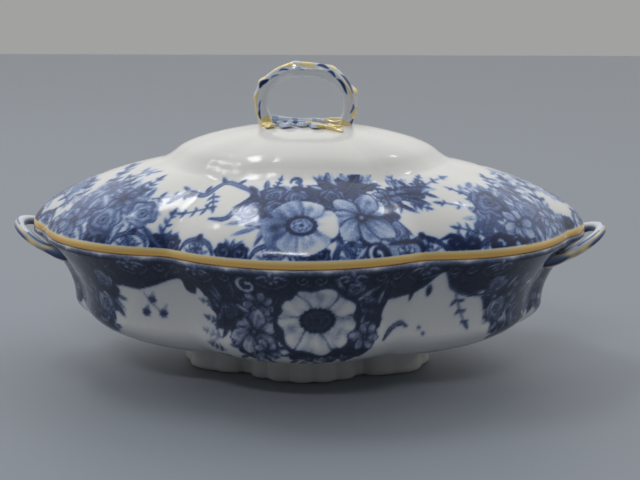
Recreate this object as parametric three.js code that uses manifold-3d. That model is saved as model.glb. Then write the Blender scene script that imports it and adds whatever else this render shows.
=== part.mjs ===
// Covered soup tureen in transfer-printed earthenware.
// Millimetres, +Z up, +X along the dish, the printed front faces -Y, z = 0 is the table.
// The ceramic pieces are formed one by one and luted together, so each is a solid of its own.

import * as THREE from 'three';
import Module from 'manifold-3d';

const wasm = await Module();
wasm.setup();

// ---------------------------------------------------------------- driving dimensions

const JOINT_GAP = 0.3;          // room left between pieces that meet
const AROUND = 80;              // facets in one turn of a plan outline

const RIM = {
  halfLength: 147,              // centre to the tip of the end lobe
  topZ: 75,                     // flat top of the bowl's rim, where the lid sits
  edge: 2.5,                    // upright edge under the rim's top
  width: 6,                     // width of the flat top
};
const BOWL = {
  wall: 5.5,
  waistZ: 36,                   // narrowest upright part of the wall
  waist: 0.858,                 // reach at the waist, as a share of the rim
  baseZ: 16,                    // flat underside that the foot is luted to
  base: 0.47,                   // reach of the flat underside
  floorZ: 21,
  bellyRoundness: 0.62,
};
const FOOT = {
  height: BOWL.baseZ - JOINT_GAP,
  wall: 5.5,
  scallops: 20,
  scallopDepth: 0.8,
  neck: 0.985,                  // reach at its narrowest, as a share of its outline on the table
  neckHeight: 0.4,              // where that is, as a share of the height
  flare: 1.02,                  // reach at the top
};
const LID = {
  seatZ: RIM.topZ + JOINT_GAP,
  edge: 0.7,                    // upright edge above the seat
  seatWidth: 8,
  wall: 5,
  slopeRise: 42.5,              // height of the printed slope if it ran on to the axis
  slopeRoundness: 0.6,
  innerStart: 0.3,              // step of the slope where its underside leaves the seat's wall
};
const DOME = {
  halfLength: 71,
  halfWidth: 54.5,
  crownZ: 129.8,
  roundness: 0.6,
  gadroons: 12,
  gadroonDepth: 1.2,
};
const LOCATING_RIM = { depth: 6, clearance: 1.5, wall: 4 };
const LID_LOOP = {
  halfWidth: 23.5,
  crownZ: 157.5,
  footHalfWidth: 19,
  footSink: 4,                  // how far the feet start under the crown, before they are trimmed
  section: [4.1, 4.4],          // half the branch's size through the loop and in its plane
  knotRadius: 3,
  baseRadius: 2.6,              // low branch that lies on the crown between the feet
  baseRise: 0.9,
};
const SPRIG = { stemRadius: 1.7, leafHeight: 5, leafSink: 3.4 };
const END_HANDLE = {
  reach: 155.5,
  tipZ: 75,
  rootX: 118,                   // the roots start inside the bowl's outline and are trimmed to it
  rootZ: 61,
  halfWidth: 23,
  section: [2.9, 2.9],
};
const ROD_STEPS = { handle: 32, twig: 14 };

// ---------------------------------------------------------------- plan outlines

// Discs whose joined outline is the bracket-shaped plan: x, y, radius of each.
const RIM_DISCS = [
  [0, -8, 92], [0, 8, 92],                    // front and back lobes
  [-62, 0, 77], [62, 0, 77],                  // shoulder lobes
  [-117, 0, 30], [117, 0, 30],                // end lobes over the handles
];
const FOOT_DISCS = [
  [0, -2, 35], [0, 2, 35],
  [-41, 0, 25], [41, 0, 25],
];
const NOTCH_SOFTNESS = { rim: 2, foot: 8 };

// Distance from the centre to the joined outline of the discs, with softened notches.
function discUnionRadius(discs, softness, angle) {
  let total = 0;
  for (const [x, y, radius] of discs) {
    const along = x * Math.cos(angle) + y * Math.sin(angle);
    const across = y * Math.cos(angle) - x * Math.sin(angle);
    const chord = radius * radius - across * across;
    if (chord > 0) total += Math.exp((along + Math.sqrt(chord)) / softness);
  }
  return softness * Math.log(total);
}

function rimReach(angle) {
  return discUnionRadius(RIM_DISCS, NOTCH_SOFTNESS.rim, angle);
}

function footReach(angle) {
  const scallop = FOOT.scallopDepth * Math.cos(FOOT.scallops * angle);
  return discUnionRadius(FOOT_DISCS, NOTCH_SOFTNESS.foot, angle) + scallop;
}

// ---------------------------------------------------------------- ring solids

// A ring is a function from an angle to [radius, height]. A ring with radius 0 is a pole.
const pole = (z) => Object.assign(() => [0, z], { isPole: true });

// Closed body through a list of rings that runs from the lower pole, or round a closed section.
function ringSolid(rings) {
  const positions = [];
  const starts = [];
  for (const ring of rings) {
    starts.push(positions.length / 3);
    const count = ring.isPole ? 1 : AROUND;
    for (let j = 0; j < count; j += 1) {
      const angle = (2 * Math.PI * j) / AROUND;
      const [radius, z] = ring(angle);
      positions.push(radius * Math.cos(angle), radius * Math.sin(angle), z);
    }
  }
  const index = [];
  const closedSection = !rings[0].isPole;
  const bands = closedSection ? rings.length : rings.length - 1;
  for (let i = 0; i < bands; i += 1) {
    const next = (i + 1) % rings.length;
    for (let j = 0; j < AROUND; j += 1) {
      const k = (j + 1) % AROUND;
      const [a, b] = [starts[i] + j, starts[i] + k];
      const [c, d] = [starts[next] + k, starts[next] + j];
      if (rings[i].isPole) index.push(starts[i], c, d);
      else if (rings[next].isPole) index.push(a, b, starts[next]);
      else index.push(a, b, c, a, c, d);
    }
  }
  const geometry = new THREE.BufferGeometry();
  geometry.setAttribute('position', new THREE.Float32BufferAttribute(positions, 3));
  geometry.setIndex(index);
  geometry.computeVertexNormals();
  return geometry;
}

// Ring at a share of the rim's outline, moved outwards by an offset.
const rimRing = (share, z, offset = 0) => (angle) => [share * rimReach(angle) + offset, z];
const footRing = (share, z, offset = 0) => (angle) => [share * footReach(angle) + offset, z];

// ---------------------------------------------------------------- manifold booleans

function toManifold(geometry) {
  const vertices = geometry.getAttribute('position');
  const index = geometry.getIndex();
  const mesh = new wasm.Mesh({
    numProp: 3,
    vertProperties: new Float32Array(vertices.array),
    triVerts: new Uint32Array(index ? index.array : [...Array(vertices.count).keys()]),
  });
  mesh.merge();
  return new wasm.Manifold(mesh);
}

function fromManifold(solid) {
  const mesh = solid.getMesh();
  const geometry = new THREE.BufferGeometry();
  geometry.setAttribute('position', new THREE.Float32BufferAttribute(mesh.vertProperties, 3));
  geometry.setIndex([...mesh.triVerts]);
  geometry.computeVertexNormals();
  return geometry;
}

// Closed rod with an oval section along a smooth path through a few points.
function rod(points, [halfAcross, halfThrough], steps, sides = 12) {
  const section = new THREE.Shape();
  section.absellipse(0, 0, halfAcross, halfThrough, 0, 2 * Math.PI);
  const path = new THREE.CatmullRomCurve3(points.map((p) => new THREE.Vector3(...p)));
  const geometry = new THREE.ExtrudeGeometry(section, {
    steps,
    curveSegments: sides,
    extrudePath: path,
  });
  return toManifold(geometry);
}

function ball(x, y, z, radius) {
  const geometry = new THREE.IcosahedronGeometry(radius, 1);
  geometry.translate(x, y, z);
  return toManifold(geometry);
}

// ---------------------------------------------------------------- bowl

// Share of the rim's outline that the bowl's wall reaches at a height.
function bowlShare(z, bottomZ) {
  if (z >= BOWL.waistZ) {
    const flare = (z - BOWL.waistZ) / (RIM.topZ - RIM.edge - BOWL.waistZ);
    return BOWL.waist + (1 - BOWL.waist) * flare * flare;
  }
  const drop = Math.min(1, (BOWL.waistZ - z) / (BOWL.waistZ - bottomZ));
  return BOWL.base + (BOWL.waist - BOWL.base) * (1 - drop * drop) ** BOWL.bellyRoundness;
}

const WALL_HEIGHTS = [0, 0.03, 0.12, 0.3, 0.55, 1];           // share of the way up to the waist
const FLARE_HEIGHTS = [0.3, 0.55, 0.8, 1];                    // share of the way up to the rim

function bowlRings(bottomZ, offset) {
  const belly = WALL_HEIGHTS.map((share) => bottomZ + share * (BOWL.waistZ - bottomZ));
  const rimZ = RIM.topZ - RIM.edge;
  const flare = FLARE_HEIGHTS.map((share) => BOWL.waistZ + share * (rimZ - BOWL.waistZ));
  return [...belly, ...flare].map((z) => rimRing(bowlShare(z, bottomZ), z, offset));
}

function bowlGeometry() {
  return ringSolid([
    pole(BOWL.baseZ),
    ...bowlRings(BOWL.baseZ, 0),
    rimRing(1, RIM.topZ),
    rimRing(1, RIM.topZ, -RIM.width),
    ...bowlRings(BOWL.floorZ, -BOWL.wall).reverse(),
    pole(BOWL.floorZ),
  ]);
}

// The bowl as a filled body, grown by the gap, to cut the handles' roots with.
function bowlEnvelope() {
  return toManifold(ringSolid([
    pole(BOWL.baseZ - JOINT_GAP),
    ...bowlRings(BOWL.baseZ, JOINT_GAP),
    rimRing(1, RIM.topZ, JOINT_GAP),
    pole(RIM.topZ),
  ]));
}

// ---------------------------------------------------------------- foot ring

function footGeometry() {
  const top = FOOT.height;
  return ringSolid([
    footRing(1, 0, -FOOT.wall),
    footRing(1, 0, 0),
    footRing(FOOT.neck, top * FOOT.neckHeight),
    footRing(FOOT.flare, top),
    footRing(FOOT.flare, top, -FOOT.wall),
  ]);
}

// ---------------------------------------------------------------- lid

// Steps down the printed slope, 0 at the rim and 1 at the dome, then up the dome to its crown.
const SLOPE_STEPS = [0, 0.014, 0.05, 0.11, 0.2, 0.32, 0.48, 0.66, 0.83];
const DOME_SHARES = [1, 0.97, 0.9, 0.78, 0.62, 0.42, 0.2];

// Height of the printed slope at a share of the rim's outline.
function slopeZ(share) {
  return LID.seatZ + LID.edge + LID.slopeRise * (1 - share * share) ** LID.slopeRoundness;
}

function domeReach(angle) {
  const oval = Math.hypot(Math.cos(angle) / DOME.halfLength, Math.sin(angle) / DOME.halfWidth);
  return 1 / oval + DOME.gadroonDepth * Math.abs(Math.cos((DOME.gadroons * angle) / 2));
}

function slopeRing(step, drop = 0, offset = 0) {
  return (angle) => {
    const share = 1 + step * (domeReach(angle) / rimReach(angle) - 1);
    return [share * rimReach(angle) + offset, slopeZ(share) - drop];
  };
}

function domeRing(share, drop = 0, offset = 0) {
  return (angle) => {
    const baseZ = slopeZ(domeReach(angle) / rimReach(angle));
    const rise = (DOME.crownZ - baseZ) * (1 - share * share) ** DOME.roundness;
    return [share * (domeReach(angle) + offset), baseZ + rise - drop];
  };
}

// Underside of the printed slope at a radius.
function slopeUndersideZ(radius, angle) {
  return slopeZ(Math.min(1, radius / rimReach(angle))) - LID.wall;
}

function lidTopRings(drop = 0, offset = 0) {
  return [
    ...SLOPE_STEPS.map((step) => slopeRing(step, drop, offset)),
    ...DOME_SHARES.map((share) => domeRing(share, drop, offset)),
  ];
}

function lidGeometry() {
  const seatInner = (angle) => rimReach(angle) - LID.seatWidth;
  const underEdge = (angle) => {
    const radius = seatInner(angle) - 1;
    return [radius, slopeUndersideZ(radius, angle)];
  };
  const innerSteps = SLOPE_STEPS.filter((step) => step > LID.innerStart);
  return ringSolid([
    pole(DOME.crownZ - LID.wall),
    ...DOME_SHARES.map((share) => domeRing(share, LID.wall, -LID.wall)).reverse(),
    ...innerSteps.map((step) => slopeRing(step, LID.wall)).reverse(),
    underEdge,
    (angle) => [seatInner(angle), LID.seatZ],
    rimRing(1, LID.seatZ),
    ...lidTopRings(),
    pole(DOME.crownZ),
  ]);
}

// The lid as a filled body, grown by the gap, to cut the loop and the sprig with.
function lidEnvelope() {
  return toManifold(ringSolid([
    pole(LID.seatZ),
    rimRing(1, LID.seatZ),
    ...lidTopRings(-JOINT_GAP, JOINT_GAP),
    pole(DOME.crownZ + JOINT_GAP),
  ]));
}

// Upright strip inside the lid that drops into the bowl and keeps the lid in place.
function locatingRimGeometry() {
  const bottomZ = RIM.topZ - LOCATING_RIM.depth;
  const share = bowlShare(bottomZ, BOWL.baseZ);
  const outset = -(BOWL.wall + LOCATING_RIM.clearance);
  const intoLid = (offset) => (angle) => {
    const radius = share * rimReach(angle) + offset;
    return [radius, slopeUndersideZ(radius, angle) + LID.wall / 2];
  };
  const strip = toManifold(ringSolid([
    rimRing(share, bottomZ, outset - LOCATING_RIM.wall),
    rimRing(share, bottomZ, outset),
    intoLid(outset),
    intoLid(outset - LOCATING_RIM.wall),
  ]));
  return fromManifold(strip.subtract(toManifold(lidGeometry()).translate(0, 0, -JOINT_GAP)));
}

// ---------------------------------------------------------------- loop and sprig on the lid

// Path of the loop's branch: across, as a share of its half width, and up, as a share of its rise.
const LOOP_SHAPE = [
  [-1, 0.28],
  [-0.93, 0.62],
  [-0.55, 0.93],
  [0, 1],
  [0.58, 0.9],
  [0.94, 0.55],
  [0.98, 0.22],
];

// A bent branch that springs from the crown of the dome and returns to it.
function loopSolid(growth) {
  const { halfWidth, crownZ, footHalfWidth, footSink, section } = LID_LOOP;
  const rise = crownZ - DOME.crownZ;
  const footZ = DOME.crownZ - footSink;
  const points = [
    [-footHalfWidth, 0, footZ],
    ...LOOP_SHAPE.map(([across, up]) => [across * halfWidth, 0, DOME.crownZ + up * rise]),
    [footHalfWidth, 0, footZ],
  ];
  return rod(points, section.map((half) => half + growth), ROD_STEPS.handle);
}

// The low branch on the crown, from one foot of the loop to the other.
function loopBase(growth) {
  const { footHalfWidth, halfWidth, baseRadius, baseRise } = LID_LOOP;
  const z = DOME.crownZ + baseRise;
  const radius = baseRadius + growth;
  return rod([[-footHalfWidth, 0, z], [0, 0, z], [halfWidth, 0, z]], [radius, radius], ROD_STEPS.twig);
}

// Where cut-back twigs leave the branch: across and up, as shares like the loop's own path.
const KNOT_SPOTS = [
  [-1.11, 0.47],
  [-1, 0.76],
  [-0.24, 1.07],
  [0.55, 0.98],
  [1.08, 0.58],
];

function lidLoopGeometry() {
  const rise = LID_LOOP.crownZ - DOME.crownZ;
  const branch = KNOT_SPOTS.reduce(
    (body, [across, up]) => body.add(
      ball(across * LID_LOOP.halfWidth, 0, DOME.crownZ + up * rise, LID_LOOP.knotRadius),
    ),
    loopSolid(0).add(loopBase(0)),
  );
  return fromManifold(branch.subtract(lidEnvelope()));
}

// Flat pointed leaf that lies along a direction, on the dome near its crown.
const LEAF_BULGE = { along: 0.45, across: 0.75 };      // where the outline's curve is pulled to

function leaf([x, y], heading, length, width) {
  const outline = new THREE.Shape();
  const [along, across] = [length * LEAF_BULGE.along, width * LEAF_BULGE.across];
  outline.moveTo(0, 0);
  outline.quadraticCurveTo(along, across, length, 0);
  outline.quadraticCurveTo(along, -across, 0, 0);
  const geometry = new THREE.ExtrudeGeometry(outline, {
    depth: SPRIG.leafHeight,
    bevelEnabled: false,
    curveSegments: 6,
  });
  geometry.rotateZ(heading);
  geometry.translate(x, y, DOME.crownZ - SPRIG.leafSink);
  return toManifold(geometry);
}

// Leafy twig that runs from the loop's left foot, forwards across the dome.
// Stem: x, y and height above the crown. Leaves: root, heading in half turns, length and width.
const STEM = [
  [-23, -7, -0.2],
  [-13, -9, 0.6],
  [0, -11, 0.6],
  [11, -15, -0.4],
  [21, -20, -2.2],
];
const LEAVES = [
  [[-20, -7.5], 1.72, 10, 8],
  [[-11, -9], 1.74, 12, 8],
  [[2, -11.5], 1.8, 12, 7],
];

function sprigGeometry() {
  const stem = STEM.map(([x, y, up]) => [x, y, DOME.crownZ + up]);
  const twig = rod(stem, [SPRIG.stemRadius, SPRIG.stemRadius], ROD_STEPS.twig, 8);
  const whole = LEAVES.reduce(
    (body, [root, heading, length, width]) => body.add(leaf(root, heading * Math.PI, length, width)),
    twig,
  );
  const loop = loopSolid(JOINT_GAP).add(loopBase(JOINT_GAP));
  return fromManifold(whole.subtract(lidEnvelope()).subtract(loop));
}

// ---------------------------------------------------------------- end handles

// Path of one half of a handle: shares of the way out, of the half width and of the way up.
const HANDLE_SHAPE = [
  [0, 1, 0],
  [0.32, 0.98, 0.18],
  [0.61, 0.83, 0.47],
  [0.89, 0.5, 0.87],
];

// Low loop under the end lobe of the rim: side is -1 for the left end, 1 for the right.
function endHandleGeometry(side) {
  const { reach, tipZ, rootX, rootZ, halfWidth, section } = END_HANDLE;
  const half = HANDLE_SHAPE.map(([out, across, up]) => [
    rootX + out * (reach - rootX),
    -across * halfWidth,
    rootZ + up * (tipZ - rootZ),
  ]);
  const mirrored = half.map(([x, y, z]) => [x, -y, z]).reverse();
  const points = [...half, [reach, 0, tipZ], ...mirrored].map(([x, y, z]) => [side * x, y, z]);
  return fromManifold(rod(points, section, ROD_STEPS.handle).subtract(bowlEnvelope()));
}

// ---------------------------------------------------------------- assembly

const LOOKS = {
  print: { color: 0x8f9cbf, roughness: 0.12, metalness: 0 },
  glaze: { color: 0xe6e3dd, roughness: 0.12, metalness: 0 },
  gilded: { color: 0xb9a98a, roughness: 0.2, metalness: 0.2 },
};

function piece(name, geometry, look) {
  const mesh = new THREE.Mesh(geometry, new THREE.MeshStandardMaterial(look));
  mesh.name = name;
  return mesh;
}

const dish = new THREE.Group();
dish.add(
  piece('bowl', bowlGeometry(), LOOKS.print),
  piece('foot_ring', footGeometry(), LOOKS.glaze),
  piece('left_handle', endHandleGeometry(-1), LOOKS.gilded),
  piece('right_handle', endHandleGeometry(1), LOOKS.gilded),
);

const cover = new THREE.Group();
cover.add(
  piece('lid', lidGeometry(), LOOKS.print),
  piece('lid_locating_rim', locatingRimGeometry(), LOOKS.glaze),
  piece('lid_loop_handle', lidLoopGeometry(), LOOKS.gilded),
  piece('lid_handle_sprig', sprigGeometry(), LOOKS.gilded),
);

const tureen = new THREE.Group();
tureen.add(dish, cover);

export default tureen;
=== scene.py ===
"""Looks of a covered soup tureen in blue transfer-printed earthenware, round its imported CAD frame.

Lengths below are in millimetres and are turned into metres where a mesh is made.
+X runs along the dish, the front faces -Y and +Z is up.
"""

import math

import bpy
import numpy as np
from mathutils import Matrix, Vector


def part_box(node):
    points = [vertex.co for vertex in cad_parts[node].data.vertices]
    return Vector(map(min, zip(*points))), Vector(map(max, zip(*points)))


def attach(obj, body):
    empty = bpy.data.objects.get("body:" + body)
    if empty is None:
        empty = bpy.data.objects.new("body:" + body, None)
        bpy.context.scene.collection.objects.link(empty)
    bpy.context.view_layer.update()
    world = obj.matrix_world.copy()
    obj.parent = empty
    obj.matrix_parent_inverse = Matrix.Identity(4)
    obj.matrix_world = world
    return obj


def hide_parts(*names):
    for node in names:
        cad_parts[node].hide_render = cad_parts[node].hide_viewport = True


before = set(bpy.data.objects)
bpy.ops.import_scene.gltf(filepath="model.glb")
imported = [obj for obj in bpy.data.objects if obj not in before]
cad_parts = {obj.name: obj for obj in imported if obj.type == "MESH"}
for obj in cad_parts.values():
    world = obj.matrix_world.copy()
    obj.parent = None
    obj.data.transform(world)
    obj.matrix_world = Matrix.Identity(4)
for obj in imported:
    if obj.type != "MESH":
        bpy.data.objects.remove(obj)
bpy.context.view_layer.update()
MM = 0.001
RNG = np.random.default_rng(7)

# ---- sizes from the frame


def box_mm(node):
    low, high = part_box(node)
    return [v / MM for v in low], [v / MM for v in high]


BOWL_LOW, BOWL_HIGH = box_mm("bowl")
LID_LOW, LID_HIGH = box_mm("lid")
FOOT_HIGH = box_mm("foot_ring")[1]
LOCATING_LOW = box_mm("lid_locating_rim")[0]
LOOP_HIGH = box_mm("lid_loop_handle")[1]
HANDLE_HIGH = box_mm("right_handle")[1]

RIM_Z = BOWL_HIGH[2]
SEAT_Z = LID_LOW[2]
CROWN_Z = LID_HIGH[2]
BASE_Z = BOWL_LOW[2]

# ---- shape of the dish

RIM_DISCS = [
    (0, -8, 92), (0, 8, 92),          # front and back lobes: x, y, radius
    (-62, 0, 77), (62, 0, 77),        # shoulders
    (-117, 0, 30), (117, 0, 30),      # ends, over the handles
]
FOOT_DISCS = [(0, -2, 35), (0, 2, 35), (-41, 0, 25), (41, 0, 25)]
FRONT_REACH = 100                      # from the dish's middle to the front of its rim
RIM_SOFTNESS = 2
FOOT_SOFTNESS = 8
SCALLOPS, SCALLOP_DEPTH = 20, 0.8

RIM_EDGE = 2.5
RIM_WIDTH = 6
BOWL_WALL = 5.5
WAIST_Z, WAIST = 36, 0.858
BASE = 0.47
FLOOR_Z = BASE_Z + 5
BELLY_ROUNDNESS = 0.62

SLOPE_RISE, SLOPE_ROUNDNESS = 42.5, 0.6
EDGE_TOP_Z = SEAT_Z + 0.7
LID_WALL = 5
LID_SEAT_WIDTH = 8
LOCATING_TOP_Z = SEAT_Z + 9
LOCATING_SHARE, LOCATING_GAP = 0.974, 7  # its outline: a share of the rim's, less a gap
FOOT_WALL = 5.5
DOME_HALF = (71, 54.5)
DOME_ROUNDNESS = 0.6
GADROONS, GADROON_DEPTH, GADROON_SOFTNESS = 12, 1.2, 0.18

AROUND = 880                           # facets round the dish
LID_SPACING, BOWL_SPACING = 0.75, 1.0  # between rings of the printed surfaces

angles = np.linspace(0, 2 * np.pi, AROUND, endpoint=False)


def disc_union_radius(discs, softness, angle):
    """Distance from the centre to the joined outline of the discs, with soft notches."""
    total = np.zeros_like(angle, dtype=float)
    for x, y, radius in discs:
        along = x * np.cos(angle) + y * np.sin(angle)
        across = y * np.cos(angle) - x * np.sin(angle)
        chord = radius**2 - across**2
        hit = chord > 0
        total[hit] += np.exp((along[hit] + np.sqrt(chord[hit])) / softness)
    return softness * np.log(total)


def rim_reach(angle):
    """Distance from the centre to the rim's outline."""
    return disc_union_radius(RIM_DISCS, RIM_SOFTNESS, np.asarray(angle, dtype=float))


def dome_reach(angle):
    """Distance from the centre to the foot of the gadrooned dome."""
    oval = 1 / np.hypot(np.cos(angle) / DOME_HALF[0], np.sin(angle) / DOME_HALF[1])
    lobe = np.sqrt(np.cos(GADROONS * angle / 2) ** 2 + GADROON_SOFTNESS**2)
    return oval + GADROON_DEPTH * (lobe - GADROON_SOFTNESS)


def slope_z(share):
    """Height of the lid's printed slope at a share of the rim's outline."""
    inside = np.clip(1 - share**2, 0, 1)
    return EDGE_TOP_Z + SLOPE_RISE * inside**SLOPE_ROUNDNESS


def bowl_share(z, bottom=BASE_Z):
    """Share of the rim's outline that the bowl's wall reaches at a height."""
    z = np.asarray(z, dtype=float)
    flare = np.clip((z - WAIST_Z) / (RIM_Z - RIM_EDGE - WAIST_Z), 0, 1)
    upper = WAIST + (1 - WAIST) * flare**2
    drop = np.clip((WAIST_Z - z) / (WAIST_Z - bottom), 0, 1)
    lower = BASE + (WAIST - BASE) * (1 - drop**2) ** BELLY_ROUNDNESS
    return np.where(z >= WAIST_Z, upper, lower)


def at(radius, angle, z):
    """Point or points from a radius, an angle and a height."""
    radius, angle, z = np.broadcast_arrays(radius, angle, z)
    return np.stack([radius * np.cos(angle), radius * np.sin(angle), z], axis=-1)


def lengths(points):
    """Distance along a line of points, from its first point to each."""
    return np.concatenate([[0], np.cumsum(np.linalg.norm(np.diff(points, axis=0), axis=1))])


def even_steps(points_of, low, high, spacing):
    """Values from low to high that are evenly spaced along the curve points_of(value)."""
    fine = np.linspace(low, high, 4000)
    length = lengths(points_of(fine))
    count = max(2, round(length[-1] / spacing) + 1)
    return np.interp(np.linspace(0, length[-1], count), length, fine)


# ---- mesh helpers


def mesh_object(name, vertices, faces):
    mesh = bpy.data.meshes.new(name)
    mesh.from_pydata([tuple(v) for v in np.asarray(vertices) * MM], [], faces)
    mesh.update()
    mesh.polygons.foreach_set("use_smooth", [True] * len(mesh.polygons))
    piece = bpy.data.objects.new(name, mesh)
    bpy.context.scene.collection.objects.link(piece)
    return piece


def ring_faces(rings, around, closed_section=False):
    """Quads between the rings of a grid, facing out where the rings run up the outside."""
    j = np.arange(around)
    k = (j + 1) % around
    bands = []
    for i in range(rings if closed_section else rings - 1):
        low, high = i * around, (i + 1) % rings * around
        bands.append(np.stack([low + j, low + k, high + k, high + j], axis=1))
    return np.concatenate(bands)


def poled_solid(name, rings, first_pole, last_pole):
    """Closed body from a stack of rings between two points on the axis."""
    rings = np.asarray(rings)
    count, around = rings.shape[:2]
    vertices = np.concatenate([rings.reshape(-1, 3), [first_pole], [last_pole]])
    faces = ring_faces(count, around).tolist()
    first, last = count * around, count * around + 1
    top = (count - 1) * around
    for j in range(around):
        k = (j + 1) % around
        faces.append((first, k, j))
        faces.append((last, top + j, top + k))
    return mesh_object(name, vertices, faces)


def ring_solid(name, rings):
    """Closed body round a closed section, such as a foot ring."""
    rings = np.asarray(rings)
    faces = ring_faces(rings.shape[0], rings.shape[1], closed_section=True).tolist()
    return mesh_object(name, rings.reshape(-1, 3), faces)


def store(piece, name, values):
    """Keeps one number per vertex on a piece, for its material."""
    layer = piece.data.attributes.new(name, "FLOAT", "POINT")
    full = np.zeros(len(piece.data.vertices))
    full[: len(values)] = values
    layer.data.foreach_set("value", full.astype(np.float32))


# ---- ink


EDGE = 0.8                             # width over which an inked edge fades
HEART_FLATNESS = 0.8                   # height of an open flower's heart, as a share of its width
LEAF_TEETH = 0.16                      # depth of a leaf's toothed edge, as a share of its width
SCROLL_INK = 0.92                      # tone of a scroll's outline


def cover(distance):
    """How far a point is inside a shape, from 0 to 1, from its signed distance."""
    return np.clip(0.5 - distance / EDGE, 0, 1)


class Print:
    """Transfer print on a glazed surface: how dark the ink is at each of its points.

    place turns two map coordinates into a point. Every mark is drawn twice, the second time
    turned half a turn about the axis, because the same sheet is laid on the front and the back.
    """

    def __init__(self, points, place, up, flats):
        self.points = points.reshape(-1, 3)
        self.place = place
        self.up = up
        self.flats = flats
        self.tone = np.zeros(len(self.points))

    def sides(self, *spots):
        """The 3-D points of a mark on the front, then on the back."""
        front = [self.place(*spot) for spot in spots]
        turn = np.array([-1, -1, 1])
        return [front, [p * turn for p in front]]

    def local(self, centre, reach, turn=0.0):
        """Points within reach of a centre, in the surface's own right and up there."""
        offset = self.points - centre
        near = np.nonzero(np.einsum("ij,ij->i", offset, offset) < reach**2)[0]
        offset = offset[near]
        right, up = self.up(centre)
        x, y = offset @ right, offset @ up
        flat = np.maximum(np.hypot(x, y), 1e-6)
        stretch = np.linalg.norm(offset, axis=1) / flat
        x, y = x * stretch, y * stretch
        c, s = math.cos(turn), math.sin(turn)
        return near, c * x + s * y, c * y - s * x

    def over(self, near, cover_by, tone):
        """Lays a tone over points, each covered by its own share."""
        self.tone[near] = self.tone[near] * (1 - cover_by) + tone * cover_by

    def paint(self, near, distance, tone):
        """Lays a tone over the points that are inside a shape, by their signed distance."""
        self.over(near, cover(distance), tone)

    # ---- marks

    def patch(self, outline, tone):
        """Even tone inside a curved outline, in map coordinates."""
        corners = np.array(outline + outline[:3], dtype=float)
        path = smooth_path(corners, 5)[5:-5]
        for flat in self.flats:
            low, high = path.min(axis=0) - 1, path.max(axis=0) + 1
            near = np.nonzero(np.all((flat > low) & (flat < high), axis=1))[0]
            if len(near):
                self.paint(near, distance_to_outline(flat[near], path), tone)

    def disc(self, spot, radius, tone, ragged=0.0):
        """Even round spot. ragged is how far its edge waves, as a share of its radius."""
        for (centre,) in self.sides(spot):
            near, x, y = self.local(centre, radius * 1.4 + 2)
            wave = ragged * np.sin(7 * np.arctan2(y, x) + radius) if ragged else 0
            self.paint(near, np.hypot(x, y) - radius * (1 + wave), tone)

    def flower(self, spot, radius, petals, turn, blunt, tone, wide, line=0.9, shaded=0.0, taper=0.5):
        """Overlapping petals round a point. blunt is high for round tips, taper for pointed ones."""
        jitter = RNG.normal(0, 0.09, petals)
        scale = 1 + RNG.normal(0, 0.06, petals)
        for (centre,) in self.sides(spot):
            near, x, y = self.local(centre, radius * 1.25 + 2)
            for i in range(petals):
                heading = turn + 2 * math.pi * i / petals + jitter[i]
                c, s = math.cos(heading), math.sin(heading)
                along, across = c * x + s * y, c * y - s * x
                length = radius * scale[i]
                t = np.clip(along / length, 0, 1)
                ripple = 1 + 0.07 * np.sin(9 * t + 5 * i) * (across > 0) + 0.05 * np.sin(13 * t + i)
                half = wide * length * t**0.75 * (1 - t**blunt) ** taper * ripple
                gap = np.maximum(np.abs(across) - half, np.maximum(-along, along - length))
                side = across / np.maximum(half, 0.5)
                vein = np.cos(side * 9 + i) * np.clip(1.1 - t, 0, 1)
                fold = np.exp(-(((side - 0.75) / 0.35) ** 2))
                blot = np.exp(-(((t - 0.66) / 0.13) ** 2) - ((side + 0.2) / 0.35) ** 2)
                shade = tone + 0.11 * vein + 0.30 * fold * (1 - 0.5 * t) + 0.28 * blot * (i % 2)
                shade += 0.40 * np.exp(-((t / 0.32) ** 2)) + 0.1 - 0.24 * t**3
                away = math.cos(heading)
                shade += shaded * (0.5 - 0.5 * away + 0.12 * vein)
                self.paint(near, gap - 0.6, line)
                self.paint(near, gap + 0.15, np.clip(shade, 0.02, 0.95))

    def anemone(self, spot, radius, turn=0.0, shaded=0.0, eye=0.45, ring=0.3, frilled=0.0):
        """Open flower with broad pale petals and a dark ring at its heart."""
        self.disc(spot, radius * 0.97, 0.96, ragged=0.06)
        self.flower(spot, radius, 6, turn, 6.0, -0.06 + 0.6 * frilled, 0.66, 0.6, shaded)
        if frilled:
            self.frill(spot, radius, frilled)
        for (centre,) in self.sides(spot):
            near, x, y = self.local(centre, radius)
            reach, angle = np.hypot(x, y / HEART_FLATNESS), np.arctan2(y, x)
            heart = radius * 0.43
            comb = 0.04 * heart * np.cos(18 * angle)
            self.paint(near, reach - heart - comb, 0.97)
            self.paint(near, reach - heart * (1 - ring), eye)
            petal = heart * (0.34 + 0.2 * np.abs(np.cos(3.5 * angle)))
            self.paint(near, np.abs(reach - petal) - 0.05 * heart, 0.9)
            self.paint(near, reach - heart * 0.16, 0.95)

    def frill(self, spot, radius, depth):
        """Bites out of an open flower's edge, with a soft fold running in from each."""
        bites = 9
        for (centre,) in self.sides(spot):
            near, x, y = self.local(centre, radius * 1.3)
            reach, angle = np.hypot(x, y) / radius, np.arctan2(y, x)
            wave = np.sin(bites * angle + 1.4 * np.sin(2 * angle + 1))
            edge = 0.96 - depth * (0.6 + 0.6 * wave)
            fold = np.exp(-(((wave - 0.7) / 0.4) ** 2)) * np.clip((reach - 0.55) / 0.4, 0, 1)
            inside = reach < edge
            self.tone[near[inside]] = np.clip(self.tone[near[inside]] + 0.3 * fold[inside], 0, 1)
            outside = np.clip((reach - edge) * radius / EDGE, 0, 1) * (reach < 1.08)
            self.over(near, outside, 0.82)

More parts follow.
